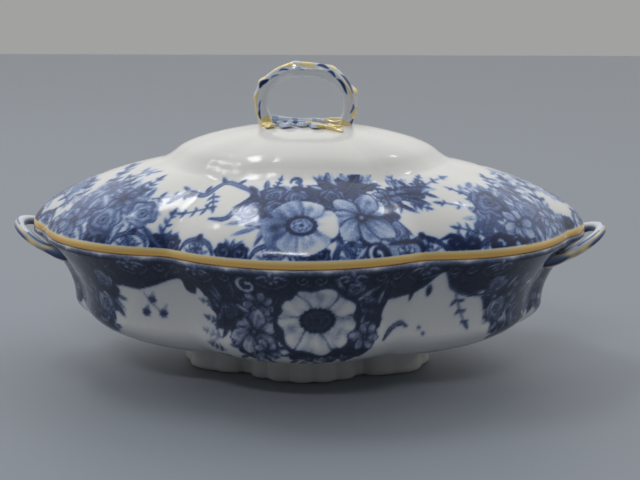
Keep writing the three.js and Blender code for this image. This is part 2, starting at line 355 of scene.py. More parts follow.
    def lily(self, spot, radius, turn=0.0, petals=6, tone=0.12):
        """Pointed petals round a dark throat."""
        self.flower(spot, radius, petals, turn, 2.4, tone + 0.12, 0.62, taper=0.85)
        for (centre,) in self.sides(spot):
            near, x, y = self.local(centre, radius)
            reach = np.hypot(x, y)
            self.paint(near, reach - radius * 0.17, 0.95)
            self.paint(near, reach - radius * 0.07, 0.3)

    def rose(self, spot, radius, turn=0.0, tone=0.62):
        """Full round rose: cupped petals drawn as dark and light crescents round its heart."""
        for (centre,) in self.sides(spot):
            near, x, y = self.local(centre, radius * 1.2 + 2, turn)
            reach, angle = np.hypot(x, y), np.arctan2(y, x)
            frill = 0.06 * np.sin(7 * angle + radius)
            edge = radius * (0.84 + 0.14 * np.abs(np.cos(2.5 * angle)) + frill)
            share = reach / edge
            curl = np.sin(share * 12 + 1.3 * np.sin(3 * angle + 2 * share) - 1)
            light = np.clip((y + x * 0.6) / radius, -1, 1)
            shade = tone + 0.17 * curl * np.clip(0.4 + share, 0, 1) - 0.13 * light
            self.paint(near, reach - edge - 0.6, 0.9)
            self.paint(near, reach - edge + 0.2, np.clip(shade, 0.08, 1))
            self.paint(near, reach - radius * 0.34, tone * 0.9)
            self.paint(near, np.abs(reach - radius * 0.3) - 0.3, 0.88)
            self.paint(near, reach - radius * 0.12, 0.9)

    def leaf(self, root, tip, width, tone=0.85, veins=0.25):
        """Pointed leaf with a pale rib from its root to its tip."""
        for a, b in self.sides(root, tip):
            middle = (a + b) / 2
            length = np.linalg.norm(b - a)
            right, up = self.up(middle)
            turn = math.atan2((b - a) @ up, (b - a) @ right)
            near, x, y = self.local(middle, length * 0.75 + width, turn)
            along = np.clip(x / length + 0.5, 0, 1)
            saw = 1 - LEAF_TEETH * ((along * 6) % 1.0)
            half = width * 1.9 * along**0.7 * (1 - along) ** 0.9 * saw
            beyond = np.abs(x) - length / 2
            inside = np.maximum(np.abs(y) - half, beyond)
            rib = np.exp(-((y / 0.45) ** 2))
            stripe = np.clip(np.cos((along * 7 - np.abs(y) / width * 1.4) * 2 * np.pi) - 0.2, 0, 1)
            shade = tone - veins * (rib + 0.8 * stripe) + 0.12 * (y > 0)
            self.paint(near, inside, np.clip(shade, 0, 1))

    def stroke(self, spots, width, tone=0.9, inner=None, taper=(0.4, 0.4)):
        """Drawn line through given spots. inner is the tone of a paler line inside it."""
        for corners in self.sides(*spots):
            path = smooth_path(np.array(corners), 10)
            low, high = path.min(axis=0) - width - 2, path.max(axis=0) + width + 2
            near = np.nonzero(np.all((self.points > low) & (self.points < high), axis=1))[0]
            if not len(near):
                continue
            distance, along = distance_to_path(self.points[near], path)
            swell = np.interp(along, [0, 0.25, 0.75, 1], [taper[0], 1, 1, taper[1]])
            self.paint(near, distance - width / 2 * swell, tone)
            if inner is not None:
                self.paint(near, distance - width / 2 * swell + 0.75, inner)

    def scroll(self, spot, radius, turn, width, hand=1, turns=1.1, inner=0.25):
        """C-scroll that winds in to a round end, in the surface's own plane."""
        for (centre,) in self.sides(spot):
            right, up = self.up(centre)
            sweep = np.linspace(0, turns * 2 * np.pi, 26)
            size = radius * (1 - 0.72 * sweep / sweep[-1])
            angle = turn + hand * sweep
            path = centre + np.outer(size * np.cos(angle), right) + np.outer(size * np.sin(angle), up)
            near = np.nonzero(np.linalg.norm(self.points - centre, axis=1) < radius + width + 2)[0]
            distance, along = distance_to_path(self.points[near], path)
            swell = np.interp(along, [0, 0.3, 0.8, 1], [0.35, 1, 0.8, 1.1])
            self.paint(near, distance - width / 2 * swell, SCROLL_INK)
            self.paint(near, distance - width / 2 * swell + 0.7, inner)

    def frond(self, root, tip, leaflets, size, tone=0.85):
        """Stem with pairs of small leaves and one at its tip, in map coordinates."""
        root, tip = np.array(root, dtype=float), np.array(tip, dtype=float)
        run = tip - root
        side = np.array([-run[1], run[0]]) / np.linalg.norm(run)
        way = run / np.linalg.norm(run)

        def on_stem(t):
            return root + run * t

        self.stroke([tuple(on_stem(t)) for t in (0, 0.33, 0.66, 1)], 0.9, tone, taper=(1, 0.6))
        for i in range(leaflets):
            t = 0.18 + 0.72 * i / max(1, leaflets - 1)
            scale = size * (1.1 - 0.45 * t)
            for hand in (-1, 1):
                start = on_stem(t + 0.03 * hand)
                end = start + (way * 0.75 + side * hand) * scale * 0.8
                self.leaf(tuple(start), tuple(end), scale * 0.36, tone, veins=0.15)
        self.leaf(tuple(on_stem(0.9)), tuple(on_stem(1) + way * size), size * 0.4, tone, veins=0.15)


def smooth_path(corners, steps):
    """Catmull-Rom curve through corners."""
    if len(corners) < 3:
        t = np.linspace(0, 1, steps)[:, None]
        return corners[0] * (1 - t) + corners[-1] * t
    padded = np.concatenate([[2 * corners[0] - corners[1]], corners, [2 * corners[-1] - corners[-2]]])
    t = np.linspace(0, 1, steps, endpoint=False)[:, None]
    parts = []
    for p0, p1, p2, p3 in zip(padded, padded[1:], padded[2:], padded[3:]):
        cubic = (3 * (p1 - p2) + p3 - p0) * t**3
        square = (2 * p0 - 5 * p1 + 4 * p2 - p3) * t**2
        parts.append(0.5 * (2 * p1 + (p2 - p0) * t + square + cubic))
    return np.concatenate(parts + [corners[-1:]])


def distance_to_path(points, path):
    """Each point's distance from a polyline, and how far along it the nearest spot lies, 0 to 1."""
    best = np.full(len(points), np.inf)
    along = np.zeros(len(points))
    for i, (a, b) in enumerate(zip(path, path[1:])):
        run = b - a
        t = np.clip((points - a) @ run / max(run @ run, 1e-9), 0, 1)
        gap = np.linalg.norm(points - a - t[:, None] * run, axis=1)
        closer = gap < best
        best[closer] = gap[closer]
        along[closer] = (i + t[closer]) / (len(path) - 1)
    return best, along


def distance_to_outline(points, path):
    """Distance from a closed flat outline, negative inside it."""
    gap = distance_to_path(points, path)[0]
    inside = np.zeros(len(points), dtype=bool)
    x, y = points.T
    for a, b in zip(path, np.roll(path, -1, axis=0)):
        if a[1] != b[1]:
            crosses = (a[1] > y) != (b[1] > y)
            inside ^= crosses & (x < (b[0] - a[0]) * (y - a[1]) / (b[1] - a[1]) + a[0])
    return np.where(inside, -gap, gap)


# ---- printed surfaces


def lid_surface_point(x, y):
    """The point of the lid's top at a place in plan."""
    angle = np.array([math.atan2(y, x)])
    reach = rim_reach(angle)[0]
    radius = min(math.hypot(x, y), reach)
    z = float(slope_z(radius / reach))
    return np.array([radius * math.cos(angle[0]), radius * math.sin(angle[0]), z])


def lid_frame(point):
    """Right and up along the lid at a point, seen from outside: up is towards the crown."""
    x, y = point[0], point[1]
    step = 0.5
    radial = np.array([x, y]) / math.hypot(x, y)
    inner = lid_surface_point(*(np.array([x, y]) - radial * step))
    here = lid_surface_point(*(np.array([x, y]) - radial * step * 0.02))
    up = inner - here
    up /= np.linalg.norm(up)
    around = np.array([-radial[1], radial[0], 0])
    right = around - (around @ up) * up
    return right / np.linalg.norm(right), up


HALF_TURN = np.linspace(np.pi, 2 * np.pi, 1441)   # round the front half of the dish
RIM_RUN = lengths(at(rim_reach(HALF_TURN), HALF_TURN, 0))
WAIST_RUN = WAIST * RIM_RUN
HALF_GIRTH = WAIST_RUN[-1] / 2
SHARES = np.linspace(0.997, 0.6, 400)
SLOPE_RUN = lengths(np.stack([SHARES * FRONT_REACH, slope_z(SHARES)], axis=1))


def lid_edge_spot(along, depth):
    """Plan spot on the lid's front: a length along the rim from its middle, and up the slope."""
    angle = np.array([np.interp(along + RIM_RUN[-1] / 2, RIM_RUN, HALF_TURN)])
    radius = np.interp(depth, SLOPE_RUN, SHARES) * rim_reach(angle)[0]
    return radius * math.cos(angle[0]), radius * math.sin(angle[0])


def bowl_edge_spot(along, depth):
    """Map spot on the bowl's front: a length along the rim from its middle, and down the wall."""
    return along * WAIST, RIM_Z - 1.5 - depth


def bowl_flats(points):
    """The bowl's map coordinates of its points, seen from the front and from the back."""
    angle = np.arctan2(points[:, 1], points[:, 0]) % np.pi + np.pi
    run = np.interp(angle, HALF_TURN, WAIST_RUN) - HALF_GIRTH
    behind = points[:, 1] > 0
    round_run = run + np.where(behind, 2 * HALF_GIRTH, 0)
    flats = []
    for start in (0, 2 * HALF_GIRTH):
        u = (round_run - start + 2 * HALF_GIRTH) % (4 * HALF_GIRTH) - 2 * HALF_GIRTH
        flats.append(np.stack([u, points[:, 2]], axis=1))
    return flats


def bowl_surface_point(u, z):
    """The point of the bowl's wall a length u round the waist from the front's middle."""
    turns, u = divmod(u + HALF_GIRTH, 2 * HALF_GIRTH)
    angle = np.array([np.interp(u, WAIST_RUN, HALF_TURN) + np.pi * turns])
    radius = bowl_share(z) * rim_reach(angle)
    return at(radius, angle, z)[0]


def bowl_frame(point):
    """Right and up along the bowl's wall at a point, seen from outside."""
    angle = math.atan2(point[1], point[0])
    z = point[2]
    angle_step, z_step = 0.004, 0.4
    reach = rim_reach(np.array([angle, angle + angle_step]))
    here = at(bowl_share(z) * reach[0], angle, z)
    right = at(bowl_share(z) * reach[1], angle + angle_step, z) - here
    up = at(bowl_share(z + z_step) * reach[0], angle, z + z_step) - here
    right /= np.linalg.norm(right)
    up -= (up @ right) * right
    return right, up / np.linalg.norm(up)


# ---- lid and bowl as painted surfaces

SKIN = 0.06                            # how far the visible surfaces stay inside the CAD shape
BAND_TOP_Z = 79.2                      # upper edge of the gilt line round the lid
PALE_EDGE = 0.8                        # paler edge at the top of the bowl
PALE_SHARE = 0.55                      # how much of the ink's tone is left on it
GILT_FADE = 0.5                        # width over which the gilt line fades at its upper edge


CREASE = (-4, -2.7, -1.3, 0, 1.3, 2.7, 4)    # stretch over which the dome runs into the slope
CREASE_REACH = 7


def lid_height(radius, reach, dome):
    """Height of the lid's top: the printed slope, and the dome that stands on it."""
    base = slope_z(dome / reach)
    t = np.clip(radius / dome, 0, 1)
    crown = base + (CROWN_Z - SKIN - base) * (1 - t**2) ** DOME_ROUNDNESS
    return np.where(radius > dome, slope_z(radius / reach), crown)


def soft_lid_height(radius, reach, dome):
    """The same with the crease at the dome's foot filled by thick glaze."""
    sharp = lid_height(radius, reach, dome)
    filled = np.mean([lid_height(radius + step, reach, dome) for step in CREASE], axis=0)
    share = np.exp(-(((radius - dome) / CREASE_REACH) ** 2))
    return sharp * (1 - share) + filled * share


def lid_rings():
    """Rings of the lid from the middle of its underside, round its edge and up to the crown."""
    reach = rim_reach(angles) - SKIN
    dome = dome_reach(angles)

    def slope_ring(step):
        radius = (1 + step * (dome / reach - 1)) * reach
        return at(radius, angles, soft_lid_height(radius, reach, dome))

    def dome_ring(t):
        return at(t * dome, angles, soft_lid_height(t * dome, reach, dome))

    def inner_ring(t):
        return at(t * dome, angles, lid_height(t * dome, reach, dome) - LID_WALL)

    def front_slope(steps):
        share = 1 + steps * (DOME_HALF[1] / FRONT_REACH - 1)
        return np.stack([share * FRONT_REACH, slope_z(share)], axis=1)

    under = [inner_ring(t) for t in (0.15, 0.4, 0.65, 0.85, 0.97)]
    for step in (0.9, 0.7, 0.5, 0.3):
        share = 1 + step * (dome / reach - 1)
        inner = share * (reach - LID_WALL)
        under.append(at(inner, angles, slope_z(share) - LID_WALL))
    seat = reach - LID_SEAT_WIDTH
    under += [at(seat, angles, SEAT_Z + 2), at(seat, angles, SEAT_Z), at(reach - 0.4, angles, SEAT_Z)]
    edge = [at(reach, angles, SEAT_Z + 0.3)]
    slope = [slope_ring(s) for s in even_steps(front_slope, 0, 1, LID_SPACING)]
    dome_steps = (0.992, 0.98, 0.965, 0.945, 0.92, 0.89, 0.85, 0.79, 0.71, 0.61, 0.5, 0.38, 0.25, 0.12)
    top = [dome_ring(t) for t in dome_steps]
    return np.array(under + edge + slope + top), len(under) + len(edge), len(slope)


def bowl_rings():
    """Rings of the bowl from the middle of its underside, up the wall and down the inside."""
    reach = rim_reach(angles) - SKIN

    def profile(z):
        return np.stack([bowl_share(z) * FRONT_REACH, z], axis=1)

    under = [at(BASE * reach * k, angles, BASE_Z) for k in (0.3, 0.7, 0.97)]
    heights = even_steps(profile, BASE_Z, RIM_Z - RIM_EDGE, BOWL_SPACING)
    wall = [at(bowl_share(z) * reach, angles, z) for z in heights]
    rim = [
        at(reach, angles, RIM_Z - 0.6),
        at(reach - 0.6, angles, RIM_Z),
        at(reach - RIM_WIDTH, angles, RIM_Z),
    ]
    inside = []
    for z in np.linspace(RIM_Z - 2, FLOOR_Z + 0.6, 14):
        inside.append(at(bowl_share(min(z, RIM_Z - RIM_EDGE), FLOOR_Z) * reach - BOWL_WALL, angles, z))
    inside += [at((BASE * reach - BOWL_WALL) * k, angles, FLOOR_Z) for k in (1, 0.6, 0.2)]
    return np.array(under + wall + rim + inside), len(under), len(wall) + 2


# ---- where the print's marks go


def leafy(ink, spots, ground=0.82):
    """Dark ground with broad paler leaves all over it, under the flowers."""
    for x, y, radius in spots:
        ink.disc((x, y), radius, ground, ragged=0.12)
    for x, y, radius in spots:
        for i in range(int(radius * 0.9)):
            way = 2 * math.pi * i / int(radius * 0.9) + RNG.normal(0, 0.2)
            root = (x + radius * 0.75 * math.cos(way), y + radius * 0.75 * math.sin(way))
            length = RNG.uniform(6, 9)
            tip = (root[0] + length * math.cos(way), root[1] + length * math.sin(way))
            ink.leaf(root, tip, length * 0.28, ground + RNG.uniform(-0.14, 0.12), veins=0.2)
        for _ in range(int(radius * 0.9)):
            way = RNG.uniform(0, 2 * math.pi)
            out = radius * math.sqrt(RNG.random()) * 0.8
            root = (x + out * math.cos(way), y + out * math.sin(way))
            heading = way + RNG.normal(0, 0.8)
            length = RNG.uniform(6, 10)
            tip = (root[0] + length * math.cos(heading), root[1] + length * math.sin(heading))
            ink.leaf(root, tip, length * 0.28, ground * RNG.choice([0.4, 0.6, 0.8]), veins=0.22)


def strapwork(ink, spot, half_length, pitch, ground):
    """Border along an edge: arches with a flower in each, and scroll pairs between them."""
    count = 2 * round(half_length / pitch)
    for i in range(count):
        s = (i + 0.5) * 2 * half_length / count - half_length

        def at_edge(along, depth):
            return spot(s + along, depth)

        if i % 2:
            ink.stroke([at_edge(a, d) for a, d in ((-10, 0.6), (-7, 6), (0, 8.4), (7, 6), (10, 0.6))],
                       2.4, 0.95, inner=0.45)
            ink.disc(at_edge(0, 9.6), 1.7, 0.9)
            ink.lily(at_edge(0, 3.4), 4, turn=i, tone=0.1)
            for hand in (-1, 1):
                ink.leaf(at_edge(hand * 3, 1.5), at_edge(hand * 7.5, 3.5), 1.3, ground)
        else:
            for hand in (-1, 1):
                ink.disc(at_edge(hand * 4, 4), 4.6, 0.9, ragged=0.1)
                ink.scroll(at_edge(hand * 3.8, 3.8), 3.6, math.pi / 2, 2.0, hand=-hand, inner=0.12)
                ink.leaf(at_edge(hand * 1, 6), at_edge(hand * 5, 10.5), 1.4, 0.8)
            ink.leaf(at_edge(0, 5), at_edge(0, 11), 1.5, 0.88)


def print_lid(ink):
    """Marks of the lid, in plan: x to the right, y away from the viewer."""
    strapwork(ink, lid_edge_spot, RIM_RUN[-1] / 2, 19, 0.8)
    sprays(ink)
    leafy(ink, [(-14, -73, 9), (6, -74, 12), (20, -66, 12), (29, -57, 7), (40, -74, 9), (-8, -86, 9)], 0.78)
    leafy(ink, [(21, -88, 6), (36, -87, 6)], 0.9)
    leafy(ink, [(-110, -46, 12), (-92, -58, 11), (-78, -62, 8), (-84, -50, 9), (-96, -38, 9)], 0.62)
    leafy(ink, [(94, -48, 11), (92, -62, 8), (112, -46, 11), (122, -32, 9), (104, -30, 7)], 0.66)
    leafy(ink, [(132, 4, 8), (118, 14, 7)], 0.5)
    leafy(ink, [(48, -56, 6), (56, -54, 6)], 0.82)
    for root, tip, width in [
        ((24, -62), (29, -48), 4), ((31, -62), (38, -51), 3.6), ((40, -66), (50, -64), 3),
        ((14, -66), (9, -57), 2.4), ((34, -70), (46, -75), 3), ((44, -62), (58, -66), 2.2),
    ]:
        ink.leaf(root, tip, width, 0.9)
    for root, tip, size in [
        ((-10, -66), (-8, -58), 3), ((12, -64), (13, -56), 3.4), ((-84, -44), (-88, -28), 5),
        ((-98, -30), (-92, -8), 6), ((-114, -30), (-112, -12), 6), ((-120, -30), (-128, -10), 6),
        ((98, -34), (92, -20), 5), ((108, -30), (102, -14), 6), ((122, -24), (112, -6), 6),
        ((-64, -76), (-59, -68), 4), ((57, -50), (58, -42), 3.4), ((58, -52), (70, -37), 4),
        ((47, -50), (42, -43), 3), ((90, -56), (68, -59), 4), ((86, -50), (73, -47), 3),
        ((-40, -61), (-39, -71), 4), ((-39, -71), (-54, -68), 4), ((88, -68), (76, -69), 4),
        ((-70, -58), (-53, -59), 4.5), ((-78, -52), (-70, -42), 5), ((54, -62), (62, -63), 3),
    ]:
        ink.frond(root, tip, 3, size)
    branch = [(-62, -62), (-52, -57), (-44, -60), (-35, -54), (-25, -62), (-18, -70)]
    ink.stroke(branch, 3.2, 0.88, inner=0.5)
    for x, y, way in ((-52, -57, 2.2), (-44, -59, 1.2), (-35, -54, 1.9), (-29, -58, 0.6)):
        ink.leaf((x, y), (x + 6 * math.cos(way), y + 6 * math.sin(way)), 2, 0.85)
    ink.stroke([(-40, -77), (-32, -80), (-27, -76), (-20, -69)], 2.8, 0.95, inner=0.55)
    ink.scroll((-20, -79), 7, 1.4, 3.2, hand=1, turns=0.9, inner=0.3)
    for x, y, way in ((-25, -84, 2.9), (-22, -88, 3.3), (-26, -80, 2.6)):
        ink.leaf((x + 6, y), (x + 7 * math.cos(way), y + 4 * math.sin(way)), 2.2, 0.6)
    ink.scroll((0, -60), 3.2, 3.6, 2.2, hand=-1, turns=0.8, inner=0.4)
    ink.rose((-10, -71), 7)
    ink.rose((1, -73), 6.4, turn=1.0)
    ink.rose((-9, -78), 5.4, turn=2.2)
    ink.rose((17, -70), 6.5, turn=0.4, tone=0.7)
    for root, tip in (((46, -58), (60, -57)), ((48, -54), (61, -51)), ((50, -59), (64, -61))):
        ink.leaf(root, tip, 3.4, 0.8)
    ink.rose((47, -79), 6.5, turn=1.0, tone=0.45)
    ink.lily((43, -61), 7, turn=0.6, tone=0.25)
    ink.lily((31, -79), 16.5, turn=0.35, petals=7, tone=0.12)
    ink.anemone((4, -88), 17, turn=0.2, shaded=0.55, eye=0.3)
    ink.rose((-94, -61), 10, turn=0.7, tone=0.5)
    ink.rose((-74, -65), 8, turn=2.7, tone=0.42)
    ink.lily((-112, -50), 9, turn=0.2, tone=0.2)
    ink.lily((-122, -42), 8, turn=1.2, tone=0.1)
    ink.lily((-86, -52), 8, turn=2.2, tone=0.3)
    ink.rose((92, -49), 10, turn=1.9, tone=0.62)
    ink.lily((106, -54), 10, turn=0.9, tone=0.1)
    ink.rose((112, -40), 8, turn=0.5, tone=0.5)
    ink.lily((124, -34), 8, turn=2.0, tone=0.1)
    ink.lily((130, 2), 9, turn=0.5, tone=0.2)
    frames_of_lid(ink)


def sprays(ink):
    """Pale grey-blue sprays of leaves that run up towards the ends of the dome."""
    for spots in [
        [(-140, -6), (-129, -6), (-117, -6), (-106, 2), (-96, 8)],
        [(-124, -26), (-112, -32), (-102, -30), (-94, -16), (-90, -4)],
        [(-106, 24), (-98, 34), (-92, 44)], [(-86, -34), (-80, -26), (-74, -33)],
        [(90, -20), (102, -22), (112, -14), (122, -8), (131, -10)],
        [(98, -16), (108, -8), (117, -2), (128, 6)], [(114, -34), (122, -30), (130, -26)],
        [(76, -48), (84, -40), (94, -38), (104, -38)],
    ]:
        path = smooth_path(np.array(spots, dtype=float), 4)
        ink.stroke(spots, 1.6, 0.42)
        for i, (here, there) in enumerate(zip(path, path[1:])):
            way = (there - here) / np.linalg.norm(there - here)
            side = np.array([-way[1], way[0]]) * (1 if i % 2 else -1)
            length = RNG.uniform(5, 8)
            tip = here + (way + side * 0.8) * length * 0.75
            ink.leaf(tuple(here), tuple(tip), length * 0.36, RNG.uniform(0.3, 0.55), veins=0.15)


def frames_of_lid(ink):
    """Bracket frames and C-scrolls that interrupt the lid's border."""
    ink.patch([(44, -85), (56, -78), (61, -80), (50, -88)], 0.35)
    ink.stroke([(44, -85), (57, -77), (61, -80)], 2.2, 0.98)
    ink.lily((52, -83), 4.5, turn=0.4, tone=0.05)
    ink.stroke([(60, -74), (68, -75), (79, -75)], 2.0, 0.95, inner=0.5)
    ink.stroke([(68, -74), (75, -72), (79, -75)], 2.2, 0.98)
    ink.stroke([(82, -74), (90, -69), (99, -64), (110, -60)], 2.4, 0.95, inner=0.6)
    ink.stroke([(-72, -71), (-67, -75), (-60, -80)], 3.0, 0.95, inner=0.6)
    for x, y, hand in ((39, -90, 1), (97, -67, -1), (105, -63, 1)):
        ink.disc((x, y), 6, 0.95)
        ink.scroll((x, y), 5, 0.5, 3.2, hand=hand, inner=0.02)


def print_bowl(ink):
    """Marks of the bowl: u round the waist from the front's middle, then height."""
    low, high, end = 58, RIM_Z - 1.8, HALF_GIRTH + 4
    for start in range(-round(end), round(end), 20):
        ink.patch([(start, high), (start, low), (start + 24, low), (start + 24, high)], 0.82)
    strapwork(ink, bowl_edge_spot, RIM_RUN[-1] / 2, 19, 0.35)
    leafy(ink, [(-28, 50, 12), (-14, 46, 12), (8, 34, 12), (26, 34, 12),
                (36, 50, 9), (24, 56, 10), (-18, 32, 9)])
    leafy(ink, [(-104, 52, 13), (-122, 40, 14), (-142, 50, 14), (-160, 42, 13), (-108, 34, 9)])
    leafy(ink, [(104, 48, 12), (122, 40, 14), (142, 50, 14), (160, 42, 13), (112, 36, 9)])
    ink.patch([(-77, 56), (-62, 62), (-54, 64), (-53, 58), (-48, 57), (-45, 61), (-42, 55), (-45, 49),
               (-39, 46), (-41, 40), (-36, 37), (-40, 31), (-35, 27), (-38, 21), (-40, 14), (-112, 14),
               (-106, 26), (-94, 34), (-86, 44)], 0.03)
    ink.patch([(66, 69), (61, 61), (52, 55), (45, 56), (42, 48), (45, 42), (40, 34), (34, 27), (30, 20),
               (38, 14), (118, 14), (108, 26), (97, 34), (96, 44), (91, 53), (80, 56), (72, 61)], 0.03)
    berries_and_sprigs(ink)
    ink.rose((-10, 50), 6.5, turn=2.0, tone=0.4)
    ink.lily((-16, 56), 8, turn=0.2, tone=0.2)
    ink.lily((-19, 41), 12.5, turn=0.35, tone=0.1)
    ink.rose((-30, 50), 6, turn=1.0, tone=0.7)
    ink.lily((-13, 31), 7, turn=0.8, tone=0.15)
    ink.anemone((11, 48), 19.5, turn=0.5, eye=0.75, ring=0.22, frilled=0.1)
    ink.lily((34, 38), 7, turn=0.9, tone=0.15)
    ink.rose((27, 64), 5, tone=0.5)
    ink.scroll((-19, 66), 6, 0.8, 3.4, hand=1, inner=0.12)
    for side in (-1, 1):
        ink.rose((side * 97, 59), 6.5, tone=0.5)
        ink.rose((side * 104, 45), 7, turn=1.2, tone=0.45)
        ink.lily((side * 116, 54), 8.5, turn=0.5, tone=0.3)
        ink.rose((side * 122, 39), 8, turn=2.2)
        ink.lily((side * 138, 47), 10, turn=1.5, tone=0.3)
        ink.rose((side * 154, 56), 7, turn=0.6, tone=0.5)
        ink.lily((side * 168, 44), 8, turn=0.6, tone=0.3)


def berries_and_sprigs(ink):
    """Small marks on the bowl's white panels."""
    for u, z in ((-78, 44), (-69, 44), (-73, 51)):
        ink.disc((u, z), 2.2, 0.75, ragged=0.15)
        ink.leaf((u, z + 1), (u + 3, z + 5), 1.1, 0.6)
    ink.stroke([(-76, 55), (-74, 49), (-70, 45)], 0.8, 0.6)
    for z, reach, tone in ((52, 8, 0.6), (43, 7, 0.75), (36, 9, 0.5), (29, 7, 0.7), (22, 6, 0.5)):
        ink.frond((-36, z), (-36 - reach, z + 2), 3, 3.6, tone)
    ink.leaf((-40, 34), (-46, 31), 2.0, 0.5)
    ink.stroke([(-41, 69), (-40, 58), (-37, 47)], 2.0, 0.9, inner=0.5)
    ink.stroke([(-76, 57), (-66, 61), (-55, 65), (-50, 66)], 2.2, 0.95)
    ink.disc((-50, 61), 3, 0.9, ragged=0.1)
    ink.stroke([(70, 66), (74, 60), (82, 56), (93, 54)], 2.6, 0.95, inner=0.6)
    ink.leaf((56, 61), (56, 53), 1.7, 0.95)
    ink.leaf((63, 62), (64, 55), 2.2, 0.95)
    ink.frond((77, 56), (86, 40), 3, 4.5, 0.75)
    ink.stroke([(44, 35), (48, 40), (53, 42), (57, 40)], 2.6, 0.85, inner=0.5)
    for u, z in ((65, 36), (63, 39), (-106, 24)):
        ink.disc((u, z), 1.0, 0.7)


def bleed(tone):
    """Lets the ink run a little into the glaze, over a grid of rings."""
    def blurred(grid, rounds):
        for _ in range(rounds):
            grid = (grid + np.roll(grid, 1, axis=1) + np.roll(grid, -1, axis=1)) / 3
            padded = np.pad(grid, ((1, 1), (0, 0)), mode="edge")
            grid = (padded[:-2] + padded[1:-1] + padded[2:]) / 3
        return grid

    near, wide = blurred(tone, 1), blurred(tone, 6)
    return np.clip(0.7 * tone + 0.3 * near + 0.16 * wide, 0, 1)


# ---- materials


class Nodes:
    """Small helper that adds nodes to a material and links them."""

    def __init__(self, name):
        self.material = bpy.data.materials.new(name)
        self.material.use_nodes = True
        self.tree = self.material.node_tree
        self.shader = self.tree.nodes["Principled BSDF"]

    def add(self, kind, **settings):
        node = self.tree.nodes.new(kind)
        for key, value in settings.items():
            if hasattr(node, key):
                setattr(node, key, value)
            else:
                self.feed(node.inputs[key], value)
        return node

    def feed(self, socket, value):
        if isinstance(value, bpy.types.NodeSocket):
            self.tree.links.new(value, socket)
        else:
            socket.default_value = value

    def maths(self, operation, first, second=None, clamp=False):
        node = self.add("ShaderNodeMath", operation=operation, use_clamp=clamp)
        self.feed(node.inputs[0], first)
        if second is not None:
            self.feed(node.inputs[1], second)
        return node.outputs[0]

    def spread(self, value, low, high, to_low, to_high):
        node = self.add("ShaderNodeMapRange")
        for i, part in enumerate((value, low, high, to_low, to_high)):
            self.feed(node.inputs[i], part)
        return node.outputs[0]

    def ramp(self, value, stops):
        node = self.add("ShaderNodeValToRGB")
        node.color_ramp.elements.remove(node.color_ramp.elements[1])
        for i, (position, colour) in enumerate(stops):
            stop = node.color_ramp.elements[0] if i == 0 else node.color_ramp.elements.new(position)
            stop.position = position
            stop.color = (*colour, 1)
        self.feed(node.inputs[0], value)
        return node.outputs[0]

    def blend(self, share, first, second):
        node = self.add("ShaderNodeMix", data_type="RGBA")
        self.feed(node.inputs[0], share)
        self.feed(node.inputs[6], first)
        self.feed(node.inputs[7], second)
        return node.outputs[2]

    def noise(self, scale, detail=2.0, roughness=0.5):
        where = self.add("ShaderNodeTexCoord").outputs["Object"]
        return self.add("ShaderNodeTexNoise", Vector=where, Scale=scale, Detail=detail,
                        Roughness=roughness).outputs[0]

    def attribute(self, name):
        return self.add("ShaderNodeAttribute", attribute_name=name).outputs["Fac"]

    def bump(self, height, strength, distance):
        node = self.add("ShaderNodeBump", Strength=strength, Distance=distance)
        self.feed(node.inputs["Height"], height)
        self.feed(self.shader.inputs["Normal"], node.outputs[0])

    def set(self, name, value):
        self.feed(self.shader.inputs[name], value)


WHITE = (0.80, 0.79, 0.765)
INK_STOPS = [
    (0.0, WHITE),
    (0.2, (0.51, 0.60, 0.765)),
    (0.5, (0.17, 0.26, 0.50)),
    (0.75, (0.056, 0.095, 0.24)),
    (1.0, (0.016, 0.028, 0.08)),
]
SHADED_INK_STOPS = [                     # the bowl's print made darker and greyer than the lid's: painted shade
    (0.0, WHITE),
    (0.2, (0.51, 0.55, 0.64)),
    (0.5, (0.16, 0.20, 0.32)),
    (0.75, (0.050, 0.068, 0.135)),
    (1.0, (0.016, 0.022, 0.045)),
]
GILT_STOPS = [(0.0, (1.0, 0.86, 0.55)), (0.5, (1.0, 0.80, 0.36)), (1.0, (0.86, 0.48, 0.12))]
GILT_METAL = 0.22


def glaze_finish(m):
    """Gloss and faint unevenness shared by every glazed surface."""
    ripple = m.noise(160.0, 2.0)
    m.set("Roughness", m.spread(m.noise(45.0, 3.0), 0.3, 0.7, 0.08, 0.17))
    m.bump(ripple, 0.12, 0.0006)
    m.set("IOR", 1.47)


def printed(m, stops):
    """Cobalt transfer print under clear glaze, broken up a little by the paper's dots."""
    tone = m.attribute("tone")
    where = m.add("ShaderNodeTexCoord").outputs["Object"]
    dots = m.add("ShaderNodeTexVoronoi", Vector=where, Scale=1100.0).outputs["Distance"]
    stipple = m.maths("MULTIPLY", m.maths("SUBTRACT", m.noise(420.0, 3.0, 0.6), 0.5), 0.36)
    dotted = m.maths("MULTIPLY", m.maths("SUBTRACT", 0.45, dots), 0.2)
    middle = m.maths("MULTIPLY", m.maths("MULTIPLY", tone, m.maths("SUBTRACT", 1.15, tone)), 3.0)
    uneven = m.maths("MULTIPLY", m.maths("ADD", stipple, dotted), middle)
    return m.ramp(m.maths("ADD", tone, uneven, clamp=True), stops)


def gilded(m, ground):
    """Gilding over a ground colour: pale where it is thin, rubbed through in small patches. The thin, pale
    top of the lid's band is a painted highlight.
    """
    thickness = m.attribute("gilt")
    sound = m.spread(m.noise(300.0, 4.0, 0.7), 0.26, 0.36, 0.35, 1.0)
    share = m.maths("MULTIPLY", m.spread(thickness, 0.0, 0.4, 0.0, 1.0), sound)
    m.set("Base Color", m.blend(share, ground, m.ramp(thickness, GILT_STOPS)))
    m.set("Metallic", m.maths("MULTIPLY", share, GILT_METAL))


def bowl_glaze():
    m = Nodes("bowl_glaze")
    # Darker, greyer ink stops: painted shade over the whole bowl.
    m.set("Base Color", printed(m, SHADED_INK_STOPS))
    glaze_finish(m)
    return m.material


def lid_glaze():
    m = Nodes("lid_glaze")
    gilded(m, printed(m, INK_STOPS))
    glaze_finish(m)
    return m.material


